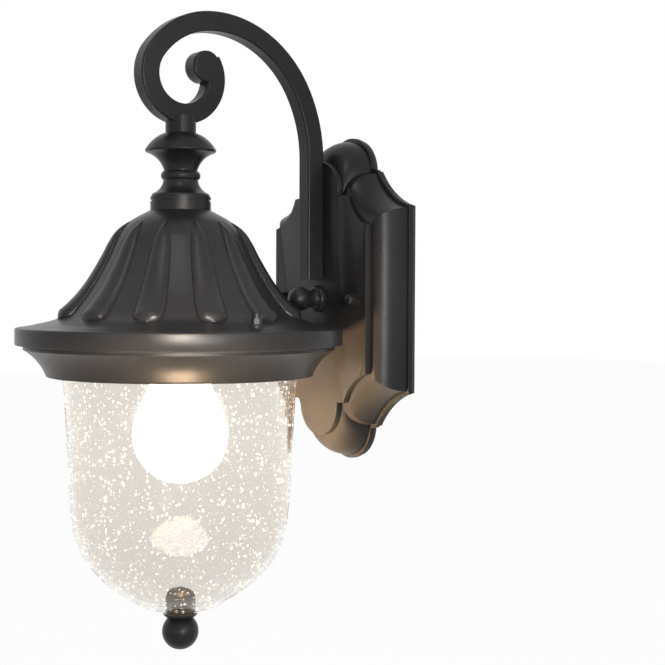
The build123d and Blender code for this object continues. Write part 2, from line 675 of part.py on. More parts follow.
with BuildPart() as globe_snap_ring:
    with BuildSketch(lantern_side):
        section_box(*SNAP_RING_R, *SNAP_RING_Z)
    revolve(axis=lantern_axis, revolution_arc=SNAP_RING_ARC)
pieces["globe_snap_ring"] = globe_snap_ring.part

# Finial: a turned ball under the globe, its stud caught by a domed nut inside the glass

washer_r, washer = FINIAL_WASHER
finial_top = GLOBE_FOOT_Z - washer
nut_foot = inner_foot + washer
with BuildPart() as finial:
    rim = (FINIAL_FLANGE_R, finial_top - FINIAL_RIM)
    cove = (FINIAL_FLANGE_R - FINIAL_COVE[0], finial_top - FINIAL_COVE[1])
    ball_top = (FINIAL_NECK_R, FINIAL_BALL_Z + math.sqrt(FINIAL_BALL_R**2 - FINIAL_NECK_R**2))
    ball_foot = (0, FINIAL_BALL_Z - FINIAL_BALL_R)
    with BuildSketch(lantern_side):
        with BuildLine():
            Polyline(ball_foot, (0, finial_top), (FINIAL_FLANGE_R, finial_top), rim)
            ThreePointArc(rim, cove, ball_top)
            ThreePointArc(ball_top, (FINIAL_BALL_R, FINIAL_BALL_Z), ball_foot)
        make_face()
    revolve(axis=lantern_axis)
    with BuildSketch(at_height(finial_top)):
        Circle(FINIAL_STUD_R)
    extrude(amount=nut_foot + FINIAL_STUD_REACH - finial_top)
pieces["finial"] = finial.part

with BuildPart() as finial_nut:
    step_in, step_low, step_high = FINIAL_NUT_STEP
    dome_r = FINIAL_NUT_R - step_in
    dome_z = FINIAL_NUT_TOP_Z - FINIAL_NUT_DOME
    bore_r = FINIAL_STUD_R + FIT
    bore_top_z = nut_foot + FINIAL_STUD_REACH + TIP_GAP
    with BuildSketch(lantern_side):
        with BuildLine():
            Polyline(
                (bore_r, nut_foot), (FINIAL_NUT_R, nut_foot), (FINIAL_NUT_R, dome_z - step_low - step_high),
                (dome_r, dome_z - step_high), (dome_r, dome_z),
            )
            dome_arc(dome_r, dome_z, FINIAL_NUT_TOP_Z)
            Polyline((0, FINIAL_NUT_TOP_Z), (0, bore_top_z), (bore_r, bore_top_z), (bore_r, nut_foot))
        make_face()
    revolve(axis=lantern_axis)
pieces["finial_nut"] = finial_nut.part

with BuildPart() as finial_washers:
    with BuildSketch(lantern_side):
        section_box(FINIAL_STUD_R + WASHER_ROOM, washer_r, finial_top, GLOBE_FOOT_Z)
        section_box(FINIAL_STUD_R + WASHER_ROOM, washer_r, inner_foot, nut_foot)
    revolve(axis=lantern_axis)
pieces["finial_washers"] = finial_washers.part

# Lampholder: a metal cap on the pipe, an insulating body, a screw shell and a centre contact

with BuildPart() as socket_cap:
    cap_inner_r = SOCKET_R + CAP_ROOM
    with BuildSketch(lantern_side):
        section_box(NIPPLE_R + FIT, cap_inner_r + CAP_WALL, CAP_TOP_Z - CAP_WALL, CAP_TOP_Z)
        section_box(cap_inner_r, cap_inner_r + CAP_WALL, CAP_FOOT_Z, CAP_TOP_Z)
    revolve(axis=lantern_axis)
pieces["socket_cap"] = socket_cap.part

with BuildPart() as socket_body:
    with BuildSketch(lantern_side):
        section_box(SOCKET_BORE_R, SOCKET_R, *SOCKET_Z)
        section_box(0, SOCKET_R, *SOCKET_WEB_Z)
    revolve(axis=lantern_axis)
    with BuildSketch(at_height(SOCKET_WEB_Z[0])):
        with Locations((-TERMINAL_X, 0), (0, 0), (TERMINAL_X, 0)):
            Circle(TERMINAL_HOLE_R)
    extrude(amount=SOCKET_WEB_Z[1] - SOCKET_WEB_Z[0], mode=Mode.SUBTRACT)
pieces["socket_body"] = socket_body.part

with BuildPart() as socket_shell:
    with BuildSketch(lantern_side):
        section_box(*SCREW_SHELL_R, SCREW_SHELL_FOOT_Z, SOCKET_WEB_Z[0])
        section_box(SHELL_RIM[0], SCREW_SHELL_R[1], SOCKET_WEB_Z[0] - SHELL_RIM[1], SOCKET_WEB_Z[0])
    revolve(axis=lantern_axis)
pieces["socket_shell"] = socket_shell.part

with BuildPart() as socket_contact:
    with BuildSketch(lantern_side):
        section_box(0, CONTACT_DISC[0], SOCKET_WEB_Z[0] - CONTACT_DISC[1], SOCKET_WEB_Z[0])
        section_box(0, CONTACT_PIN[0], SOCKET_WEB_Z[0], SOCKET_WEB_Z[1] + CONTACT_PIN[1])
    revolve(axis=lantern_axis)
pieces["socket_contact"] = socket_contact.part

terminal_planes = [Plane(origin=(x, AXIS_Y, SOCKET_WEB_Z[1])) for x in (-TERMINAL_X, TERMINAL_X)]
pieces["terminal_screws"] = pan_screws(terminal_planes, *TERMINAL_SCREW, *TERMINAL_HEAD)

# Bulb: a frosted glass envelope on a screw cap, with its stem and filament inside


def bulb_outline(inset):
    """Half of the envelope's outline, from the neck down to the tip."""
    neck = (BULB_NECK_R - inset, BULB_CAP_Z[0])
    flare = (neck[0] + BULB_NECK_FLARE[0], neck[1] - BULB_NECK_FLARE[1])
    shoulder = [(r - inset, z) for r, z in BULB_SHOULDER]
    ball_r = BULB_R - inset
    halfway = ball_r * math.sqrt(0.5)
    neck_slope = BULB_NECK_FLARE[0] / BULB_NECK_FLARE[1]
    Line(neck, flare)
    Spline(flare, *shoulder, (ball_r, BULB_WIDE_Z), tangents=((neck_slope, -1), (0, -1)))
    ThreePointArc((ball_r, BULB_WIDE_Z), (halfway, BULB_WIDE_Z - halfway), (0, BULB_TIP_Z + inset))


with BuildPart() as bulb_envelope:
    with BuildSketch(lantern_side):
        with BuildLine():
            bulb_outline(0)
            Line((0, BULB_TIP_Z), (0, BULB_TIP_Z + BULB_GLASS))
            bulb_outline(BULB_GLASS)
            Line((BULB_NECK_R - BULB_GLASS, BULB_CAP_Z[0]), (BULB_NECK_R, BULB_CAP_Z[0]))
        make_face()
    revolve(axis=lantern_axis)
pieces["bulb_envelope"] = bulb_envelope.part

with BuildPart() as bulb_cap:
    cap_foot, cap_top = BULB_CAP_Z
    inner_r = BULB_CAP_R - BULB_CAP_WALL
    thread_foot = cap_foot + BULB_CAP_PLAIN
    pitch = (cap_top - thread_foot) / CAP_THREADS
    with BuildSketch(lantern_side):
        with BuildLine():
            Polyline(
                (BULB_CAP_R, cap_top), (inner_r, cap_top), (inner_r, cap_foot), (BULB_CAP_R, cap_foot),
                (BULB_CAP_R, thread_foot),
            )
            for thread in range(CAP_THREADS):
                foot = thread_foot + thread * pitch
                crest = (BULB_CAP_R + BULB_CAP_WALL, foot + pitch / 2)
                ThreePointArc((BULB_CAP_R, foot), crest, (BULB_CAP_R, foot + pitch))
        make_face()
    revolve(axis=lantern_axis)
pieces["bulb_cap"] = bulb_cap.part

contact_r, contact_thick = BULB_CONTACT
contact_foot = BULB_CONTACT_Z - contact_thick
with BuildPart() as bulb_insulator:
    with BuildSketch(lantern_side):
        with BuildLine():
            Polyline(
                (0, cap_top), (BULB_CAP_R, cap_top), (INSULATOR_TOP_R, contact_foot), (0, contact_foot),
                close=True,
            )
        make_face()
    revolve(axis=lantern_axis)
pieces["bulb_insulator"] = bulb_insulator.part
pieces["bulb_contact"] = turned_ring(0, contact_r, contact_foot, BULB_CONTACT_Z)

with BuildPart() as bulb_stem:
    with BuildSketch(lantern_side):
        section_box(0, *STEM_FLARE)
        section_box(0, *STEM_ROD)
    revolve(axis=lantern_axis)
pieces["bulb_stem"] = bulb_stem.part

with BuildPart() as bulb_filament:
    top_x, corner_x = FILAMENT_X
    top_z, corner_z, low_z = FILAMENT_Z
    with BuildLine(lantern_side):
        FilletPolyline(
            (-top_x, top_z), (-corner_x, corner_z), (0, low_z), (corner_x, corner_z), (top_x, top_z),
            radius=FILAMENT_BEND_R,
        )
    with BuildSketch(Plane(origin=(-top_x, AXIS_Y, top_z), z_dir=(top_x - corner_x, 0, corner_z - top_z))):
        Circle(FILAMENT_R)
    sweep()
pieces["bulb_filament"] = bulb_filament.part

# Leads: from the lampholder up the pipe, round the arm and into the connectors behind the plate


def lead(side):
    """One insulated lead; side is +1 or -1 along X."""
    loop_radius, loop_turn = LOOP_ARCS[-1]
    slant = math.degrees(math.asin(LEAD_ELBOW_R / (loop_radius + LEAD_ELBOW_R)))
    elbow_z = loop_low[1] + loop_radius - math.sqrt(loop_radius**2 + 2 * loop_radius * LEAD_ELBOW_R)
    back_arcs = [(radius, -turn) for radius, turn in reversed(wire_arcs[:-1])]
    arm_arcs = ((LEAD_ELBOW_R, 90 - slant), (loop_radius, slant - loop_turn), *back_arcs)
    terminal_z = SOCKET_WEB_Z[1] + TERMINAL_LEAD_RISE
    tail_x = side * (LEAD_X + LEAD_TAIL_R)
    turn_y = CONNECTOR_Y - LEAD_TURN_R
    inside_x = side * (CONNECTOR_X[0] + LEAD_INSERT)
    with BuildPart() as wire:
        with BuildLine(lantern_side):
            Line((side * LEAD_END_X, terminal_z), (tail_x, terminal_z))
            JernArc((tail_x, terminal_z), (-side, 0), LEAD_TAIL_R, -90 * side)
            Line((side * LEAD_X, terminal_z + LEAD_TAIL_R), (side * LEAD_X, elbow_z))
        with BuildLine(Plane.YZ.offset(side * LEAD_X)):
            arm_foot = draw_arcs((AXIS_Y, elbow_z), 90, arm_arcs)
            Line(arm_foot, (bar_y, WIRE_HOLE_Z + LEAD_ELBOW_R))
            JernArc((bar_y, WIRE_HOLE_Z + LEAD_ELBOW_R), (0, -1), LEAD_ELBOW_R, 90)
        with BuildLine(Plane.XY.offset(WIRE_HOLE_Z)):
            Line((side * LEAD_X, bar_y + LEAD_ELBOW_R), (side * LEAD_X, turn_y))
            JernArc((side * LEAD_X, turn_y), (0, 1), LEAD_TURN_R, -90 * side)
            Line((side * (LEAD_X + LEAD_TURN_R), CONNECTOR_Y), (inside_x, CONNECTOR_Y))
        start = (side * LEAD_END_X, AXIS_Y, terminal_z)
        with BuildSketch(Plane(origin=start, x_dir=(0, 1, 0), z_dir=(-side, 0, 0))):
            Circle(LEAD_R)
        sweep()
    return wire.part


pieces["lead_black"] = lead(1)
pieces["lead_white"] = lead(-1)

with BuildPart() as wire_connectors:
    for side in (-1, 1):
        mouth = Plane(
            origin=(side * CONNECTOR_X[0], CONNECTOR_Y, WIRE_HOLE_Z), x_dir=(0, 1, 0), z_dir=(side, 0, 0)
        )
        with BuildSketch(mouth):
            Circle(CONNECTOR_R)
        extrude(amount=CONNECTOR_X[1] - CONNECTOR_X[0], taper=CONNECTOR_TAPER)
        with BuildSketch(mouth):
            Circle(LEAD_R + FIT)
        extrude(amount=CONNECTOR_BORE, mode=Mode.SUBTRACT)
pieces["wire_connectors"] = wire_connectors.part

os.makedirs("parts", exist_ok=True)
for name, piece in pieces.items():
    piece.label = name
    export_step(piece, f"parts/{name}.step")
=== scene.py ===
# %% [markdown]
# # Outdoor wall lantern
# A black cast lantern with a seeded glass globe hangs from a scroll arm on a wall plate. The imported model
# is the frame: every piece here is in metres and sits where the frame's node sits, so nothing is fitted by
# eye. The lantern's axis and the wall plate's depth are read from the frame's boxes.

# %% Load the frame
import json
import math

import bpy
from mathutils import Euler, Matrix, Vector
from mathutils.noise import noise as noise_at


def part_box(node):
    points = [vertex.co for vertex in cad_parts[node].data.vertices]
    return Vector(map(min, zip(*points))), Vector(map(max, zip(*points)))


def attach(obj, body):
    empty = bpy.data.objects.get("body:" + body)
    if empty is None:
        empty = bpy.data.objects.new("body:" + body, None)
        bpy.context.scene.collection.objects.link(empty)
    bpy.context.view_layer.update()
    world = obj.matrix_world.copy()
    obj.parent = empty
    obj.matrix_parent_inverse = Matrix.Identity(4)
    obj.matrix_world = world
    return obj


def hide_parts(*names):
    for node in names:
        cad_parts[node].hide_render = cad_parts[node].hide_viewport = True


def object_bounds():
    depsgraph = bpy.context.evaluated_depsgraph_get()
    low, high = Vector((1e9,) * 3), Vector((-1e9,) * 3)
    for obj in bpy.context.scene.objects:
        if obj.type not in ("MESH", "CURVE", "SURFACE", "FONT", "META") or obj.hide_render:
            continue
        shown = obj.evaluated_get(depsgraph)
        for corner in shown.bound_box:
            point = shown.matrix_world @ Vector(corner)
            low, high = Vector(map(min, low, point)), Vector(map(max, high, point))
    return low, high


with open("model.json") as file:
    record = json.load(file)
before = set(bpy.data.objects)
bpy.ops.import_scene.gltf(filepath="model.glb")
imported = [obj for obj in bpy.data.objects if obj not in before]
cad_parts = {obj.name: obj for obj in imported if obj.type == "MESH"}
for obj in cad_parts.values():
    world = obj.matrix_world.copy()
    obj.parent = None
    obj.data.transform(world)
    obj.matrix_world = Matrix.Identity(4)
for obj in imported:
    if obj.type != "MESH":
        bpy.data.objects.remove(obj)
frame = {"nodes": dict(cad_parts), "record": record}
cad_low, cad_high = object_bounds()
nodes = frame["nodes"]
MM = 0.001
globe_low, globe_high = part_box("globe")
AXIS_Y = (globe_low.y + globe_high.y) / 2
print("frame", len(nodes), "nodes, lantern axis at y", round(AXIS_Y, 4))

# %% [markdown]
# ## The camera
# The lantern was photographed level, from its right, by a lens a little longer than normal. A camera can be
# placed by eye or by angles. Angles are kept here: the side it stands on, its distance from the lantern's
# axis, and the small turns that put the axis left of the middle and the horizon above it.

# %% Camera
PHOTO_SIDE = 665
SENSOR_MM = 36
CAMERA_AZIMUTH = math.radians(60)
CAMERA_DISTANCE = 0.88
CAMERA_HEIGHT = 0.008
FOCAL_PIXELS = 1387
AXIS_PIXEL = 180.5
HORIZON_PIXEL = 287
CAMERA_ROLL = math.radians(0.25)

camera_data = bpy.data.cameras.new("photo_camera")
camera = bpy.data.objects.new("photo_camera", camera_data)
bpy.context.scene.collection.objects.link(camera)
camera_data.sensor_width = SENSOR_MM
camera_data.lens = FOCAL_PIXELS * SENSOR_MM / PHOTO_SIDE
camera.location = (
    CAMERA_DISTANCE * math.sin(CAMERA_AZIMUTH),
    AXIS_Y - CAMERA_DISTANCE * math.cos(CAMERA_AZIMUTH),
    CAMERA_HEIGHT,
)
turn_right = math.atan((PHOTO_SIDE / 2 - AXIS_PIXEL) / FOCAL_PIXELS)
look_down = math.atan((PHOTO_SIDE / 2 - HORIZON_PIXEL) / FOCAL_PIXELS)
aim = Euler((math.pi / 2 - look_down, 0, CAMERA_AZIMUTH - turn_right)).to_quaternion()
camera.rotation_euler = (aim @ Euler((0, 0, CAMERA_ROLL)).to_quaternion()).to_euler()
bpy.context.scene.camera = camera
print("camera lens", round(camera_data.lens, 1), "mm")

# %% [markdown]
# ## Two small helpers
# Shaders and geometry trees are both nodes with sockets, so one helper makes a node, sets its values and
# joins its links. A second one turns a list of points and faces into a smooth piece at the origin.

# %% Helpers
CREASE_DEGREES = 35


def node(tree, kind, sockets=None, **settings):
    """Adds a node. A socket takes a plain value, or the output that feeds it."""
    made = tree.nodes.new(kind)
    for name, value in settings.items():
        setattr(made, name, value)
    for name, value in (sockets or {}).items():
        if isinstance(value, bpy.types.NodeSocket):
            tree.links.new(value, made.inputs[name])
        else:
            made.inputs[name].default_value = value
    return made


def mesh_piece(name, points, faces, crease_degrees=CREASE_DEGREES):
    """A smooth-shaded mesh object whose edges sharper than the crease angle stay crisp."""
    mesh = bpy.data.meshes.new(name)
    mesh.from_pydata(points, [], faces)
    mesh.validate()
    mesh.shade_smooth()
    mesh.set_sharp_from_angle(angle=math.radians(crease_degrees))
    piece = bpy.data.objects.new(name, mesh)
    bpy.context.scene.collection.objects.link(piece)
    return piece


# %% [markdown]
# ## Studio
# The lantern hangs in the air in front of a white ground, so the floor lies well below it. A white ground
# could come from strong lamps, but that would bleach the glass. Instead the world and the floor are white
# only to the camera and to what gloss and glass show. The light that falls on the lantern is a dim room
# and a few softboxes, and these draw the shape of the black paint.

# %% White surroundings
bpy.context.scene.view_settings.view_transform = "Standard"
FLOOR_Z = cad_low.z - 0.22
FLOOR_HALF = 6.0
FLOOR_GLOW = 0.97
FLOOR_PAPER = (0.8, 0.8, 0.8, 1)
FLOOR_SHADE = (0.05, 0.05, 0.05, 1)
WHITE = (1, 1, 1, 1)
ROOM_COLOUR = (0.93, 0.96, 1.0, 1)
ROOM_LIGHT = 0.08


def seen_directly(tree):
    """1 for camera, mirror and glass rays, 0 for the rays that light a surface."""
    path = node(tree, "ShaderNodeLightPath").outputs
    rays = {0: path["Is Camera Ray"], 1: path["Is Glossy Ray"]}
    seen = node(tree, "ShaderNodeMath", rays, operation="MAXIMUM").outputs[0]
    rays = {0: seen, 1: path["Is Transmission Ray"]}
    return node(tree, "ShaderNodeMath", rays, operation="MAXIMUM").outputs[0]


world = bpy.data.worlds.new("white_studio")
world.use_nodes = True
world.node_tree.nodes.clear()
sky = world.node_tree
room = node(sky, "ShaderNodeBackground", {"Color": ROOM_COLOUR, "Strength": ROOM_LIGHT})
white = node(sky, "ShaderNodeBackground", {"Color": WHITE, "Strength": 1.0})
sky_mix = node(sky, "ShaderNodeMixShader", {0: seen_directly(sky), 1: room.outputs[0], 2: white.outputs[0]})
node(sky, "ShaderNodeOutputWorld", {"Surface": sky_mix.outputs[0]})
bpy.context.scene.world = world

floor_finish = bpy.data.materials.new("pale_floor")
floor_finish.use_nodes = True
floor_finish.node_tree.nodes.clear()
ground = floor_finish.node_tree
paper = node(ground, "ShaderNodeBsdfDiffuse", {"Color": FLOOR_PAPER})
shade = node(ground, "ShaderNodeBsdfDiffuse", {"Color": FLOOR_SHADE})
glow = node(ground, "ShaderNodeEmission", {"Color": WHITE, "Strength": FLOOR_GLOW})
lit = node(ground, "ShaderNodeAddShader", {0: shade.outputs[0], 1: glow.outputs[0]})
floor_sides = {0: seen_directly(ground), 1: paper.outputs[0], 2: lit.outputs[0]}
floor_mix = node(ground, "ShaderNodeMixShader", floor_sides)
node(ground, "ShaderNodeOutputMaterial", {"Surface": floor_mix.outputs[0]})

floor_corners = [(-1, -1), (1, -1), (1, 1), (-1, 1)]
floor_points = [(x * FLOOR_HALF, y * FLOOR_HALF, FLOOR_Z) for x, y in floor_corners]
floor = mesh_piece("studio_floor", floor_points, [(0, 1, 2, 3)])
floor.data.materials.append(floor_finish)
print("floor at z", round(FLOOR_Z, 3))

# %% [markdown]
# ### Lamps
# Four softboxes draw the shape of the black paint: a key from above, a cooler one along the wall, one from
# the front and a weak one from the left. A small warm lamp in the globe carries the bulb's light to the wall
# plate. The bulb's glass glows too, but a small lamp gives the brim a crisp shadow with far less noise. Two
# small warm softboxes stand in for the glow that the lit glass throws on the brim and the cove under it.

# %% Lamps


def soft_lamp(name, place, aim, size, watts, colour, beam_degrees=180):
    """A square softbox that faces a point on the lantern, with a grid that narrows its beam."""
    lamp_data = bpy.data.lights.new(name, "AREA")
    lamp_data.size = size
    lamp_data.energy = watts
    lamp_data.color = colour
    lamp_data.spread = math.radians(beam_degrees)
    lamp = bpy.data.objects.new(name, lamp_data)
    lamp.location = place
    lamp.rotation_euler = (Vector(aim) - Vector(place)).to_track_quat("-Z", "Y").to_euler()
    lamp.visible_camera = False
    lamp.visible_transmission = False
    bpy.context.scene.collection.objects.link(lamp)
    return lamp


lantern_middle = (0, AXIS_Y, 0.02)
brim_front = (0.075, AXIS_Y - 0.045, -0.02)
cove_front = (0.075, AXIS_Y - 0.045, -0.045)
soft_lamp("key_softbox", (0.9, -0.8, 1.5), lantern_middle, 0.7, 6, (1.0, 1.0, 1.0))
soft_lamp("side_softbox", (1.5, 0.1, 0.5), lantern_middle, 0.6, 3.5, (0.92, 0.96, 1.0))
soft_lamp("front_softbox", (1.19, -0.45, 0.0), lantern_middle, 0.3, 7.5, (1.0, 0.98, 0.96))
soft_lamp("left_softbox", (-1.2, -0.9, 0.6), lantern_middle, 0.9, 1, (0.97, 0.98, 1.0))
brim_lamp = soft_lamp("brim_softbox", (0.28, -0.30, 0.01), brim_front, 0.08, 0.11, (1.0, 0.88, 0.76), 40)
cove_lamp = soft_lamp("cove_softbox", (0.2, -0.25, -0.3), cove_front, 0.1, 0.4, (1.0, 0.70, 0.42), 60)

BULB_LAMP_DROP = 0.012
bulb_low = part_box("bulb_envelope")[0]
bulb_data = bpy.data.lights.new("bulb_light", "POINT")
bulb_data.energy = 17.0
bulb_data.color = (1.0, 0.67, 0.36)
bulb_data.shadow_soft_size = 0.008
bulb_lamp = bpy.data.objects.new("bulb_light", bulb_data)
bulb_lamp.location = (0, AXIS_Y, bulb_low.z - BULB_LAMP_DROP)
bulb_lamp.visible_camera = False
bulb_lamp.visible_glossy = False
bulb_lamp.visible_transmission = False
bpy.context.scene.collection.objects.link(bulb_lamp)

# %% [markdown]
# ## Finishes
# Each finish is a Principled shader fed by noise on Object coordinates, so its grain has the same size on
# every piece. A plain colour would look like plastic, so colour, gloss and surface all vary a little.

# %% Finish helpers
finishes = {}
NOISE_LOW, NOISE_HIGH = 0.3, 0.7


def new_finish(slot):
    """An empty material for a slot, with its shader and the place that patterns read."""
    finish = bpy.data.materials.new(slot)
    finish.use_nodes = True
    tree = finish.node_tree
    shader = tree.nodes["Principled BSDF"]
    where = node(tree, "ShaderNodeTexCoord").outputs["Object"]
    finishes[slot] = finish
    return tree, shader, where


def noise(tree, where, size, detail=2.0):
    """Noise whose lumps are about this many metres across."""
    made = node(tree, "ShaderNodeTexNoise", {"Vector": where, "Scale": 1 / size, "Detail": detail})
    return made.outputs[0]


def tones(tree, factor, dark, light):
    """A two-colour ramp."""
    ramp = node(tree, "ShaderNodeValToRGB", {"Fac": factor})
    ends = ((NOISE_LOW, dark), (NOISE_HIGH, light))
    for element, (position, colour) in zip(ramp.color_ramp.elements, ends):
        element.position = position
        element.color = (*colour, 1)
    return ramp.outputs["Color"]


def spread(tree, factor, low, high):
    """A noise factor stretched to a range of values."""
    limits = {0: factor, 1: NOISE_LOW, 2: NOISE_HIGH, 3: low, 4: high}
    return node(tree, "ShaderNodeMapRange", limits).outputs[0]


def roughened(tree, shader, height, depth, strength=1.0):
    """A fine relief of this depth in metres."""
    bump = node(tree, "ShaderNodeBump", {"Height": height, "Distance": depth, "Strength": strength})
    tree.links.new(bump.outputs["Normal"], shader.inputs["Normal"])


# %% [markdown]
# ### Black powder coat
# Cast aluminium under a satin black powder coat: charcoal more than black, with a fine grain like very fine
# sandpaper and slow changes of gloss.

# %% Black coat
tree, shader, where = new_finish("black_coat")
clouds = noise(tree, where, 0.05, 4)
grain = noise(tree, where, 0.0008, 2)
tree.links.new(tones(tree, clouds, (0.011, 0.011, 0.012), (0.017, 0.017, 0.018)), shader.inputs["Base Color"])
shader.inputs["Specular IOR Level"].default_value = 0.18
tree.links.new(spread(tree, grain, 0.26, 0.38), shader.inputs["Roughness"])
roughened(tree, shader, grain, 0.0001, 0.5)

# %% [markdown]
# ### Metals
# Zinc plate, brass, the nickel cap of the bulb and the lampholder's cap are bare metals. Each has streaks
# or spots in its gloss, which is what tells one bare metal from another.

# %% Metals


def bare_metal(slot, dark, light, roughness, grain_size, stretch=(1, 1, 1)):
    """A bare metal with mottled colour and gloss; a stretch turns the mottling into brushing."""
    tree, shader, where = new_finish(slot)
    turned = node(tree, "ShaderNodeMapping", {"Vector": where, "Scale": stretch}).outputs[0]
    mottle = noise(tree, turned, grain_size, 4)
    tree.links.new(tones(tree, mottle, dark, light), shader.inputs["Base Color"])
    tree.links.new(spread(tree, mottle, roughness * 0.75, roughness * 1.3), shader.inputs["Roughness"])
    shader.inputs["Metallic"].default_value = 1.0
    roughened(tree, shader, mottle, 0.00004, 0.5)


bare_metal("zinc_steel", (0.50, 0.51, 0.53), (0.66, 0.67, 0.68), 0.34, 0.004)
bare_metal("brass", (0.55, 0.38, 0.16), (0.74, 0.54, 0.26), 0.32, 0.006)
bare_metal("aged_bronze", (0.020, 0.016, 0.012), (0.045, 0.036, 0.028), 0.5, 0.004)
bare_metal("nickel_cap", (0.60, 0.60, 0.58), (0.72, 0.72, 0.70), 0.26, 0.005)
bare_metal("socket_metal", (0.52, 0.50, 0.45), (0.66, 0.63, 0.56), 0.38, 0.003, (1, 1, 0.15))
bare_metal("tungsten", (0.38, 0.36, 0.34), (0.48, 0.46, 0.43), 0.5, 0.001)
print("metals", len(finishes) - 1)

# %% [markdown]
# ### Plain covers
# Porcelain, black glass, rubber, foam, moulded plastic and wire sleeves are mostly hidden, but they show
# when the globe comes down or the lantern is off the wall.

# %% Covers


def cover(slot, dark, light, roughness, grain_size, depth):
    """A coloured, non-metal surface with a grain of this size and depth."""
    tree, shader, where = new_finish(slot)
    mottle = noise(tree, where, grain_size, 3)
    tree.links.new(tones(tree, mottle, dark, light), shader.inputs["Base Color"])
    tree.links.new(spread(tree, mottle, roughness * 0.85, roughness * 1.15), shader.inputs["Roughness"])
    roughened(tree, shader, mottle, depth)


cover("porcelain", (0.82, 0.80, 0.75), (0.90, 0.89, 0.85), 0.16, 0.012, 0.00003)
cover("bulb_black_glass", (0.02, 0.02, 0.02), (0.04, 0.04, 0.04), 0.12, 0.005, 0.00003)
cover("rubber", (0.04, 0.04, 0.04), (0.06, 0.06, 0.06), 0.7, 0.003, 0.00006)
cover("foam", (0.022, 0.022, 0.024), (0.05, 0.05, 0.052), 0.9, 0.0015, 0.0004)
cover("green_screw", (0.04, 0.25, 0.09), (0.07, 0.36, 0.14), 0.35, 0.004, 0.00003)
cover("connector_plastic", (0.66, 0.24, 0.04), (0.78, 0.31, 0.06), 0.45, 0.004, 0.00005)
cover("black_insulation", (0.016, 0.016, 0.016), (0.026, 0.026, 0.026), 0.45, 0.004, 0.00004)
cover("white_insulation", (0.80, 0.80, 0.77), (0.88, 0.88, 0.85), 0.45, 0.004, 0.00004)

# %% [markdown]
# ### Glass
# Real glass bends light, and a lamp behind it would light nothing in a small number of samples. So the
# glass is a refracting shader to the eye, and clear to the rays that carry the bulb's light outwards. The
# globe's glass is a little milky from its seeds: a small share of it scatters the bulb's light.

# %% Glass


def clear_to_light(slot, colour, roughness, bend, ripple_depth, milk):
    """Refracting glass that lets light from the bulb pass, with a milky share that scatters it."""
    tree, shader, where = new_finish(slot)
    upright = node(tree, "ShaderNodeMapping", {"Vector": where, "Scale": (1, 1, 0.3)}).outputs[0]
    ripple = noise(tree, upright, 0.012, 2)
    shader.inputs["Base Color"].default_value = (*colour, 1)
    shader.inputs["Transmission Weight"].default_value = 1.0
    shader.inputs["IOR"].default_value = bend
    tree.links.new(spread(tree, ripple, roughness * 0.5, roughness * 1.5), shader.inputs["Roughness"])
    roughened(tree, shader, ripple, ripple_depth)
    seen = shader.outputs[0]
    if milk:
        scatter = node(tree, "ShaderNodeBsdfTranslucent", {"Color": (1, 0.96, 0.90, 1)})
        seen = node(tree, "ShaderNodeMixShader", {0: milk, 1: seen, 2: scatter.outputs[0]}).outputs[0]
    path = node(tree, "ShaderNodeLightPath").outputs
    lighting = node(tree, "ShaderNodeMath", {0: path["Is Shadow Ray"], 1: path["Is Diffuse Ray"]},
                    operation="MAXIMUM")
    clear = node(tree, "ShaderNodeBsdfTransparent", {"Color": (*colour, 1)})
    mix = node(tree, "ShaderNodeMixShader", {0: lighting.outputs[0], 1: seen, 2: clear.outputs[0]})
    tree.links.new(mix.outputs[0], tree.nodes["Material Output"].inputs["Surface"])


clear_to_light("seeded_glass", (0.81, 0.795, 0.77), 0.04, 1.25, 0.0002, 0.006)
clear_to_light("clear_glass", (0.96, 0.97, 0.97), 0.01, 1.45, 0.0001, 0)

# %% [markdown]
# ### The lit bulb
# The bulb is frosted inside and lit, so its glass glows evenly. Its frost shows only as a fine grain where
# the bulb is switched off. It casts no shadow, so that the small lamp still shines when the bulb is
# unscrewed and comes down around it.

# %% Lit bulb glass
tree, shader, where = new_finish("frosted_glass")
frost = noise(tree, where, 0.002, 3)
shader.inputs["Base Color"].default_value = (0.95, 0.92, 0.86, 1)
shader.inputs["Emission Color"].default_value = (1.0, 0.88, 0.72, 1)
shader.inputs["Emission Strength"].default_value = 14.0
tree.links.new(spread(tree, frost, 0.35, 0.55), shader.inputs["Roughness"])
roughened(tree, shader, frost, 0.00005)
shadow = node(tree, "ShaderNodeLightPath").outputs["Is Shadow Ray"]
clear = node(tree, "ShaderNodeBsdfTransparent")
mix = node(tree, "ShaderNodeMixShader", {0: shadow, 1: shader.outputs[0], 2: clear.outputs[0]})
tree.links.new(mix.outputs[0], tree.nodes["Material Output"].inputs["Surface"])
print("finishes", len(finishes))

# %% [markdown]
# ### Dressing the frame
# The record names a finish slot for every node, so one loop dresses them all. Pieces made below take the
# place of three of these nodes.

# %% Dress the frame's own nodes
for part in frame["record"]["subparts"]:
    mesh = nodes[part["node"]].data
    mesh.materials.clear()
    mesh.materials.append(finishes[part["material_slot"]])

# %% [markdown]
# ## The roof
# The roof is a bell with a brim, cast in one piece, with twelve long raised lobes that end in round toes on
# the brim. One lobe and the plain band beside it make a twelfth of it. Only that wedge is drawn, along the
# bell's profile, and Geometry Nodes turn it twelve times round the axis and weld the seams.

# %% Profile helpers


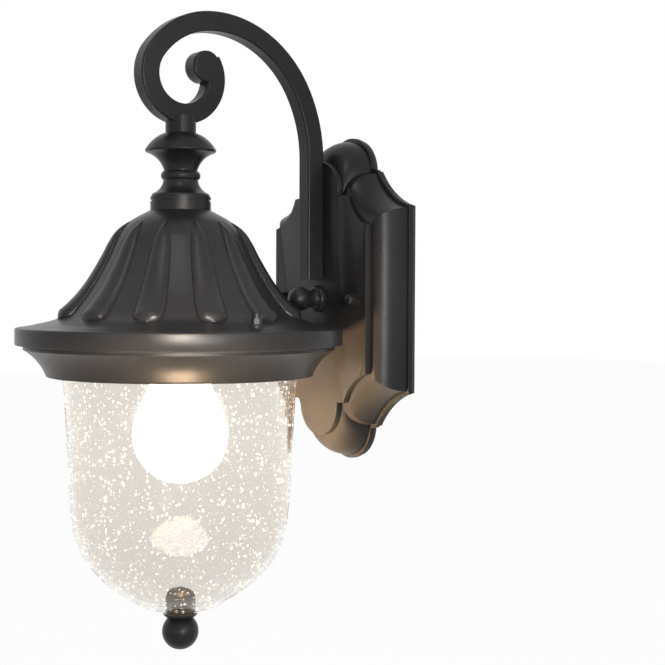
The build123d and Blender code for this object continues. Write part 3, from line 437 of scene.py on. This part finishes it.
def smooth_line(points, steps):
    """A curve through (radius, height) points, with this many steps to each stretch."""
    line = []
    last = len(points) - 1
    for index in range(last):
        start, end = Vector(points[index]), Vector(points[index + 1])
        before, after = Vector(points[max(index - 1, 0)]), Vector(points[min(index + 2, last)])
        reach = (end - start).length / 3
        leave = start + (end - before).normalized() * reach
        arrive = end - (after - start).normalized() * reach
        for t in (step / steps for step in range(steps)):
            pull = 3 * t * (1 - t)
            line.append(start * (1 - t) ** 3 + leave * pull * (1 - t) + arrive * pull * t + end * t**3)
    return line + [Vector(points[last])]


def side_of(line, index):
    """The direction that points out of a profile at one of its points."""
    along = line[min(index + 1, len(line) - 1)] - line[max(index - 1, 0)]
    return Vector((-along.y, along.x)).normalized()


def at_radius(stations, radius):
    """A row of stations read at a radius, straight from one station to the next."""
    for near, far in zip(stations, stations[1:]):
        if near[0] <= radius <= far[0]:
            t = (radius - near[0]) / (far[0] - near[0])
            return [a + (b - a) * t for a, b in zip(near[1:], far[1:])]
    return stations[0][1:]


# %% [markdown]
# ### One wedge of the roof
# Real sizes come first: the bell's profile, the brim's rounded edge, and the lobe as a row of stations. A
# lobe starts as a point near the collar, widens down the bell and ends in a blunt toe that stands proud of
# the brim. Every ring of the wedge has the same number of columns, closer together where the lobe is narrow,
# so plain four-sided faces join them.

# %% Wedge
LOBES = 12
LOBE_HALF_ANGLE = math.radians(7.9)
LOBE_STEPS, BAND_STEPS, BELL_STEPS = 18, 8, 14
INSIDE_STRIDE = 3
BELL = (
    (19.0, 55.7), (31.6, 48.6), (39.4, 40.8), (43.7, 33.2), (47.4, 25.6),
    (56.2, 10.3), (64.4, -1.1), (75.0, -11.5), (91.7, -16.3), (101.2, -17.85),
)
BELL_WALL = 3.4
BRIM_EDGE = (
    (101.7, -18.0), (102.15, -18.45), (102.3, -19.0), (102.3, -23.0), (102.3, -27.9),
    (102.1, -28.35), (101.7, -28.5),
)
BRIM_INSIDE = ((95.0, -28.5), (95.0, -20.7))
BELL_INSIDE_TOP = ((14.0, 52.3), (4.9, 52.3), (4.9, 55.7))
# Lobe: radius, share of its full width, height above the band
LOBE = (
    (31.8, 0.03, 0.0), (33.0, 0.16, 0.4), (37.9, 0.62, 1.8), (43.7, 0.92, 2.8), (49.1, 1.0, 3.0),
    (56.2, 1.0, 3.2), (64.4, 1.0, 3.8), (70.0, 0.98, 4.6), (73.0, 0.9, 4.8), (74.6, 0.78, 4.1),
    (75.8, 0.56, 2.8), (76.6, 0.3, 1.2), (77.0, 0.03, 0.0),
)


def wedge_angles(width_share):
    """The angles of the wedge's columns: across the lobe, then across the band to the next lobe."""
    half = LOBE_HALF_ANGLE * width_share
    sector = 2 * math.pi / LOBES
    lobe = [-half * math.cos(math.pi * step / LOBE_STEPS) for step in range(LOBE_STEPS)]
    return lobe + [half + (sector - 2 * half) * step / BAND_STEPS for step in range(BAND_STEPS + 1)]


def roof_wedge():
    """Points and faces of one lobe with the band beside it, about the Z axis."""
    outside = smooth_line(BELL, BELL_STEPS)
    inside = [point - side_of(outside, index) * BELL_WALL for index, point in enumerate(outside)]
    inside = [point for point in inside if BELL_INSIDE_TOP[0][0] < point.x < BRIM_INSIDE[0][0] - BELL_WALL]
    plain = [Vector(point) for point in BRIM_EDGE + BRIM_INSIDE] + inside[::-INSIDE_STRIDE]
    plain += [Vector(point) for point in BELL_INSIDE_TOP]
    points = []
    for index, middle in enumerate(outside + plain):
        width, proud = at_radius(LOBE, middle.x) if index < len(outside) else LOBE[0][1:]
        for column, angle in enumerate(wedge_angles(width)):
            lift = proud * math.sin(math.pi * min(column / LOBE_STEPS, 1))
            r, z = (middle + side_of(outside, index) * lift if lift else middle) * MM
            turn = angle + math.pi / LOBES
            points.append((r * math.cos(turn), r * math.sin(turn), z))
    columns, rings = LOBE_STEPS + BAND_STEPS + 1, len(outside) + len(plain)
    faces = []
    for ring in range(rings):
        here, there = ring * columns, (ring + 1) % rings * columns
        faces += [(here + c, there + c, there + c + 1, here + c + 1) for c in range(columns - 1)]
    return points, faces


# %% [markdown]
# ### Running a geometry tree
# A tree needs named inputs, an end that makes its copies real, and a modifier that runs it. This lantern has
# two trees, so these steps are helpers. Each result becomes a plain mesh, because copies and live trees are
# lost when the model is exported.

# %% Geometry tree helpers


def new_tree(name, inputs):
    """A geometry tree with named inputs: name to socket kind. Returns the tree and its input sockets."""
    tree = bpy.data.node_groups.new(name, "GeometryNodeTree")
    tree.interface.new_socket("Geometry", in_out="OUTPUT", socket_type="NodeSocketGeometry")
    for socket, kind in {"Geometry": "NodeSocketGeometry", **inputs}.items():
        tree.interface.new_socket(socket, in_out="INPUT", socket_type=kind)
    return tree, node(tree, "NodeGroupInput").outputs


def end_tree(tree, geometry, material, weld=None):
    """Makes instances real, welds what meets, sets the material and ends the tree."""
    real = node(tree, "GeometryNodeRealizeInstances", {"Geometry": geometry}).outputs[0]
    if weld is not None:
        real = node(tree, "GeometryNodeMergeByDistance", {"Geometry": real, "Distance": weld}).outputs[0]
    dressed = node(tree, "GeometryNodeSetMaterial", {"Geometry": real, "Material": material})
    node(tree, "NodeGroupOutput", {"Geometry": dressed.outputs[0]})


def run_tree(piece, tree, values, crease_degrees=CREASE_DEGREES):
    """Runs a geometry tree on a piece, and keeps the result as its plain, smooth mesh."""
    modifier = piece.modifiers.new(tree.name, "NODES")
    modifier.node_group = tree
    for item in tree.interface.items_tree:
        if item.in_out == "INPUT" and item.name in values:
            modifier[item.identifier] = values[item.name]
    mesh = bpy.data.meshes.new_from_object(piece.evaluated_get(bpy.context.evaluated_depsgraph_get()))
    piece.modifiers.clear()
    piece.data = mesh
    mesh.shade_smooth()
    mesh.set_sharp_from_angle(angle=math.radians(crease_degrees))
    print(piece.name, len(mesh.polygons), "faces")


# %% [markdown]
# ### Turning the wedge
# The tree puts one point on the axis for each wedge, turns the copy on each point a step further, and welds
# the seams. Spinning the mesh would do too, but in a tree the number of lobes stays a value to play with.

# %% Roof
tree, given = new_tree("turned_wedges", {
    "Wedges": "NodeSocketInt", "Axis": "NodeSocketVector", "Weld": "NodeSocketFloat",
    "Finish": "NodeSocketMaterial",
})
turn = node(tree, "ShaderNodeMath", {0: 2 * math.pi, 1: given["Wedges"]}, operation="DIVIDE").outputs[0]
number = node(tree, "GeometryNodeInputIndex").outputs[0]
angle = node(tree, "ShaderNodeMath", {0: number, 1: turn}, operation="MULTIPLY").outputs[0]
rotation = node(tree, "ShaderNodeCombineXYZ", {"Z": angle}).outputs[0]
places = node(tree, "GeometryNodePoints", {"Count": given["Wedges"], "Position": given["Axis"]}).outputs[0]
copies = node(tree, "GeometryNodeInstanceOnPoints",
              {"Points": places, "Instance": given["Geometry"], "Rotation": rotation}).outputs[0]
end_tree(tree, copies, given["Finish"], given["Weld"])

SEAM_WELD = 0.02 * MM
roof = mesh_piece("lobed_roof", *roof_wedge())
run_tree(roof, tree, {
    "Wedges": LOBES, "Axis": (0, AXIS_Y, 0), "Weld": SEAM_WELD, "Finish": finishes["black_coat"],
})
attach(roof, "wall_frame")
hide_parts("roof")

# %% [markdown]
# ### Bosses under the two nuts
# Two cap nuts on the brim hold the globe's ring. Each sits on a short round boss that is cast with the roof,
# with a small rounding at its rim. They are turned from a section, like every other round thing here.

# %% Bosses
BOSS_X, BOSS_R, BOSS_ROUND = 87.7, 3.7, 0.5
BOSS_FOOT_Z, BOSS_TOP_Z = -28.5, -13.6
BOSS_STEPS = 32
# How far a rounding of 1 has gone in both ways at its middle
ROUND_MIDDLE = 0.3


def turned(section, steps, centre_x=0.0, closed=True):
    """A section of (radius, height) in millimetres turned round an upright axis: points and faces."""
    count = len(section)
    points, faces = [], []
    for step in range(steps):
        angle = 2 * math.pi * step / steps
        across, along = math.cos(angle) * MM, math.sin(angle) * MM
        points += [(centre_x * MM + r * across, AXIS_Y + r * along, z * MM) for r, z in section]
        near, far = step * count, (step + 1) % steps * count
        for i in range(count if closed else count - 1):
            j = (i + 1) % count
            faces.append((near + i, near + j, far + j, far + i))
    return points, faces


boss_section = (
    (BOSS_R, BOSS_FOOT_Z), (BOSS_R, BOSS_TOP_Z - BOSS_ROUND),
    (BOSS_R - BOSS_ROUND * ROUND_MIDDLE, BOSS_TOP_Z - BOSS_ROUND * ROUND_MIDDLE),
    (BOSS_R - BOSS_ROUND, BOSS_TOP_Z), (BOSS_R / 2, BOSS_TOP_Z), (BOSS_R / 2, BOSS_FOOT_Z),
)
for side, x in (("left", -BOSS_X), ("right", BOSS_X)):
    boss = mesh_piece("brim_boss_" + side, *turned(boss_section, BOSS_STEPS, x))
    boss.data.materials.append(finishes["black_coat"])
    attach(boss, "wall_frame")
print("bosses at x", BOSS_X, "mm")

# %% [markdown]
# ## The wall plate
# The plate is a hollow casting: a thin lip at the wall, a rounded border, and a flat raised panel whose
# outline repeats the border's. It could be cut from a block. Here each contour is drawn once, as the same
# outline at another depth, and the contours are skinned, so that every edge has its own small rounding.

# %% Plate outline
# Half width, corner height, notch outer x and z, notch inner x and z, crown height
PANEL = (52.0, 48.4, 28.4, 68.4, 21.0, 69.0, 92.2)
REAR = (64.5, 61.6, 30.0, 86.2, 24.6, 87.5, 109.6)
INSET_SHARE = (1.0, 0.5, 0.5, 1.0, 1.0, 1.0, 1.0)
CORNER_SAG = 4.0
SIDE_STEPS, CORNER_STEPS, NOTCH_STEPS, CROWN_STEPS = 4, 14, 2, 40


def arc_points(start, middle, end, steps):
    """Points along the circle arc through three points, without its last point."""
    (ax, az), (bx, bz), (cx, cz) = start, middle, end
    twice = 2 * (ax * (bz - cz) + bx * (cz - az) + cx * (az - bz))
    a2, b2, c2 = ax * ax + az * az, bx * bx + bz * bz, cx * cx + cz * cz
    ox = (a2 * (bz - cz) + b2 * (cz - az) + c2 * (az - bz)) / twice
    oz = (a2 * (cx - bx) + b2 * (ax - cx) + c2 * (bx - ax)) / twice
    first, halfway, last = (math.atan2(z - oz, x - ox) for x, z in (start, middle, end))
    sweep = sum((b - a + math.pi) % (2 * math.pi) - math.pi for a, b in ((first, halfway), (halfway, last)))
    radius = math.hypot(ax - ox, az - oz)
    angles = [first + sweep * step / steps for step in range(steps)]
    return [(ox + radius * math.cos(a), oz + radius * math.sin(a)) for a in angles]


def straight_points(start, end, steps):
    """Points along a straight run, without its last point."""
    return [tuple(a + (b - a) * step / steps for a, b in zip(start, end)) for step in range(steps)]


def plate_contour(depth, spread, inset=0.0):
    """The plate's outline at a depth, from the panel (spread 0) to the wall (spread 1), drawn in."""
    half, corner_z, notch_x, notch_z, arch_x, arch_z, crown = (
        near + (far - near) * spread - inset * share for near, far, share in zip(PANEL, REAR, INSET_SHARE)
    )
    chord = math.hypot(half - notch_x, notch_z - corner_z)
    sag = ((half + notch_x) / 2 - CORNER_SAG * (notch_z - corner_z) / chord,
           (corner_z + notch_z) / 2 - CORNER_SAG * (half - notch_x) / chord)
    crown_arc = arc_points((arch_x, arch_z), (0, crown), (-arch_x, arch_z), CROWN_STEPS)
    quarter = straight_points((half, 0), (half, corner_z), SIDE_STEPS)
    quarter += arc_points((half, corner_z), sag, (notch_x, notch_z), CORNER_STEPS)
    quarter += straight_points((notch_x, notch_z), (arch_x, arch_z), NOTCH_STEPS)
    quarter += crown_arc[:CROWN_STEPS // 2]
    upper = quarter + [(0, crown)] + [(-x, z) for x, z in reversed(quarter[1:])]
    outline = upper + [(-x, -z) for x, z in upper]
    return [(x * MM, -depth * MM, z * MM) for x, z in outline]


# %% [markdown]
# ### Skinning the plate
# The contours run from the wall over the lip, round the border and up to the panel, and then back down
# inside, because the casting is hollow behind. Each pair of neighbours is joined by a row of faces, and the
# panel is closed by one flat face.

# %% Plate skin
PLATE_DEPTH, PANEL_STEP, LIP_FRONT, LIP_BACK, PLATE_WALL = 32.0, 4.5, 6.0, 3.0, 3.0
LEDGE_SPREAD = 0.86
BORDER_STEPS = 12
EDGE_ROUND = 0.6
HOLLOW_INSET = 3.8
PLATE_CREASE = 25


def border(front, back, spread, inset):
    """Contours of the rounded border, from the wall side up to the foot of the panel."""
    angles = [math.radians(90 * step / BORDER_STEPS) for step in range(BORDER_STEPS, -1, -1)]
    return [plate_contour(back + (front - back) * math.cos(a), spread * math.sin(a), inset) for a in angles]


def rounded_edge(depth, spread):
    """Three contours that round an outer edge over."""
    middle = EDGE_ROUND * ROUND_MIDDLE
    steps = ((EDGE_ROUND, 0.0), (middle, middle), (0.0, EDGE_ROUND))
    return [plate_contour(depth - below, spread, inset) for below, inset in steps]


foot = PLATE_DEPTH - PANEL_STEP
contours = [plate_contour(LIP_BACK, 1)] + rounded_edge(LIP_FRONT, 1)
contours += border(foot, LIP_FRONT, LEDGE_SPREAD, 0) + rounded_edge(PLATE_DEPTH, 0)
hollow = [plate_contour(PLATE_DEPTH - PLATE_WALL, 0, HOLLOW_INSET)]
hollow += [plate_contour(foot - PLATE_WALL, 0, HOLLOW_INSET)]
hollow += border(foot - PLATE_WALL, LIP_FRONT, LEDGE_SPREAD, PLATE_WALL)[::-1]
hollow += [plate_contour(LIP_BACK, LEDGE_SPREAD, PLATE_WALL)]

around = len(contours[0])


def skin(first, rows):
    """Faces between rows of contours, numbered from a first point."""
    return [
        (first + row * around + i, first + row * around + (i + 1) % around,
         first + (row + 1) * around + (i + 1) % around, first + (row + 1) * around + i)
        for row in range(rows - 1) for i in range(around)
    ]


plate_points = [point for contour in contours + hollow for point in contour]
inner = len(contours) * around
plate_faces = skin(0, len(contours)) + skin(inner, len(hollow))
plate_faces += [tuple(range(inner - around, inner)), tuple(reversed(range(inner, inner + around)))]
rear = inner + (len(hollow) - 1) * around
plate_faces += [(i, rear + i, rear + (i + 1) % around, (i + 1) % around) for i in range(around)]
plate = mesh_piece("wall_plate", plate_points, plate_faces, PLATE_CREASE)
plate.data.materials.append(finishes["black_coat"])
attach(plate, "wall_frame")
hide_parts("backplate")
print("plate", len(plate.data.polygons), "faces")

# %% [markdown]
# ## The globe
# The globe is blown glass, thick and a little uneven. It is a profile with two walls, turned round the
# axis. A blown wall is never a perfect turning, so slow noise moves each wall by some tenths of a
# millimetre.

# %% Globe
GLASS_WALL = 3.2
JAR = (
    (74.6, -47.0), (73.0, -54.0), (70.5, -107.7), (69.2, -130.0), (66.6, -147.0), (59.5, -164.0),
    (46.8, -178.5), (28.3, -191.5), (13.0, -197.6),
)
JAR_FOOT = -198.2
JAR_HOLE_R, JAR_FLAT_R = 3.2, 10.0
JAR_RIM_R, JAR_RIM_Z = 80.2, (-44.2, -40.4)
GLOBE_STEPS, JAR_STEPS = 160, 9
UNEVEN, UNEVEN_SIZE = 0.2, 26.0


def blown(points, seed):
    """Points pushed in and out by slow noise, as blown glass is."""
    shift = Vector((seed, 0, 0))
    moved = []
    for point in points:
        out = Vector((point[0], point[1] - AXIS_Y, 0)).normalized()
        sway = noise_at(Vector(point) / (UNEVEN_SIZE * MM) + shift)
        moved.append(Vector(point) + out * sway * UNEVEN * MM)
    return moved


jar_outside = smooth_line(JAR, JAR_STEPS)
jar_inside = [point - side_of(jar_outside, index) * GLASS_WALL for index, point in enumerate(jar_outside)]
jar_middle = [point - side_of(jar_outside, index) * GLASS_WALL / 2 for index, point in enumerate(jar_outside)]
jar_floor = [Vector((r, JAR_FOOT + rise)) for r, rise in (
    (JAR_FLAT_R, 0), (JAR_HOLE_R, 0), (JAR_HOLE_R, GLASS_WALL), (JAR_FLAT_R, GLASS_WALL),
)]
rim_low, rim_high = JAR_RIM_Z
jar_rim = [Vector(point) for point in (
    (JAR[0][0] - GLASS_WALL, rim_high), (JAR_RIM_R, rim_high), (JAR_RIM_R, rim_low), (JAR[0][0], rim_low),
)]
globe_points, globe_faces = turned(jar_outside + jar_floor + jar_inside[::-1] + jar_rim, GLOBE_STEPS)
globe = mesh_piece("blown_globe", blown(globe_points, 0), globe_faces)
globe.data.materials.append(finishes["seeded_glass"])
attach(globe, "globe_assembly")
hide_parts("globe")
print("globe", len(globe_faces), "faces")

# %% [markdown]
# ## Seeds in the glass
# The glass is full of seeds, small blown bubbles. Thousands of them, all over a curved wall, are a job for
# Geometry Nodes: points are strewn over the middle of the wall, and each gets a small ball of a random size,
# drawn out a little along the wall. A ball has only a few dozen faces, because it is a pixel or two across.
# A bubble shows as a bright speck, for it gathers the light of the bulb; that light is painted into its
# finish as a faint glow.

# %% Seed finish
tree, shader, where = new_finish("seed_air")
mist = noise(tree, where, 0.003, 2)
shader.inputs["Base Color"].default_value = (0.80, 0.79, 0.76, 1)
# Painted light: a faint glow stands in for the bulb's light that each bubble gathers
shader.inputs["Emission Color"].default_value = (1.0, 0.98, 0.94, 1)
shader.inputs["Emission Strength"].default_value = 0.7
tree.links.new(spread(tree, mist, 0.08, 0.22), shader.inputs["Roughness"])

# %% [markdown]
# ### Strewing the seeds
# Real seeds are mostly tiny, with a few large ones among them. A random number between 0 and 1, raised to a
# power, gives just that. The draw is fixed, so every render has the same seeds.

# %% Strew the seeds
FEW_LARGE = 2.2
STRETCH_DRAW, LEAST_STRETCH, MOST_STRETCH = 7, (0.85, 0.85, 0.75), (1.0, 1.5, 0.9)
SEED_SEGMENTS, SEED_RINGS = 8, 5

tree, given = new_tree("strewn_seeds", {
    "Seeds per square metre": "NodeSocketFloat", "Smallest": "NodeSocketFloat", "Largest": "NodeSocketFloat",
    "Draw": "NodeSocketInt", "Finish": "NodeSocketMaterial",
})
strewn = node(tree, "GeometryNodeDistributePointsOnFaces",
              {"Mesh": given["Geometry"], "Density": given["Seeds per square metre"], "Seed": given["Draw"]})
chance = node(tree, "FunctionNodeRandomValue", {"Seed": given["Draw"]}, data_type="FLOAT").outputs["Value"]
few_large = node(tree, "ShaderNodeMath", {0: chance, 1: FEW_LARGE}, operation="POWER").outputs[0]
size = node(tree, "ShaderNodeMapRange", {0: few_large, 3: given["Smallest"], 4: given["Largest"]}).outputs[0]
drawn_out = node(tree, "FunctionNodeRandomValue", {"Seed": STRETCH_DRAW}, data_type="FLOAT_VECTOR")
drawn_out.inputs["Min"].default_value = LEAST_STRETCH
drawn_out.inputs["Max"].default_value = MOST_STRETCH
scale = node(tree, "ShaderNodeVectorMath", {0: drawn_out.outputs["Value"], "Scale": size}, operation="SCALE")
ball_shape = {"Segments": SEED_SEGMENTS, "Rings": SEED_RINGS, "Radius": 1.0}
ball = node(tree, "GeometryNodeMeshUVSphere", ball_shape).outputs[0]
balls = node(tree, "GeometryNodeInstanceOnPoints", {
    "Points": strewn.outputs["Points"], "Instance": ball, "Rotation": strewn.outputs["Rotation"],
    "Scale": scale.outputs[0],
}).outputs[0]
end_tree(tree, balls, given["Finish"])

SEED_DENSITY, SEED_DRAW = 38000, 3
SMALLEST_SEED, LARGEST_SEED = 0.26 * MM, 1.0 * MM
SEED_WALL_STEPS = 96
# Points of the wall that stay bare at its top and at its foot
BARE_TOP, BARE_FOOT = 6, 3
seeded_wall = jar_middle[BARE_TOP:-BARE_FOOT]
seeds = mesh_piece("globe_seeds", *turned(seeded_wall, SEED_WALL_STEPS, closed=False))
run_tree(seeds, tree, {
    "Seeds per square metre": SEED_DENSITY, "Smallest": SMALLEST_SEED, "Largest": LARGEST_SEED,
    "Draw": SEED_DRAW, "Finish": finishes["seed_air"],
}, crease_degrees=180)
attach(seeds, "globe_assembly")

# %% [markdown]
# ### What the warm lamps leave out
# The lamp in the globe would whiten the milky glass close by, which the glowing bulb already lights, and the
# two small softboxes would show in it as squares. Light linking leaves the globe, its seeds and the floor out
# of these lamps' light.

# %% Light linking
unlit = bpy.data.collections.new("left_out_of_warm_light")
for lamp in (bulb_lamp, brim_lamp, cove_lamp):
    lamp.light_linking.receiver_collection = unlit
for piece in (globe, seeds, floor):
    unlit.objects.link(piece)
for member in unlit.collection_objects:
    member.light_linking.link_state = "EXCLUDE"
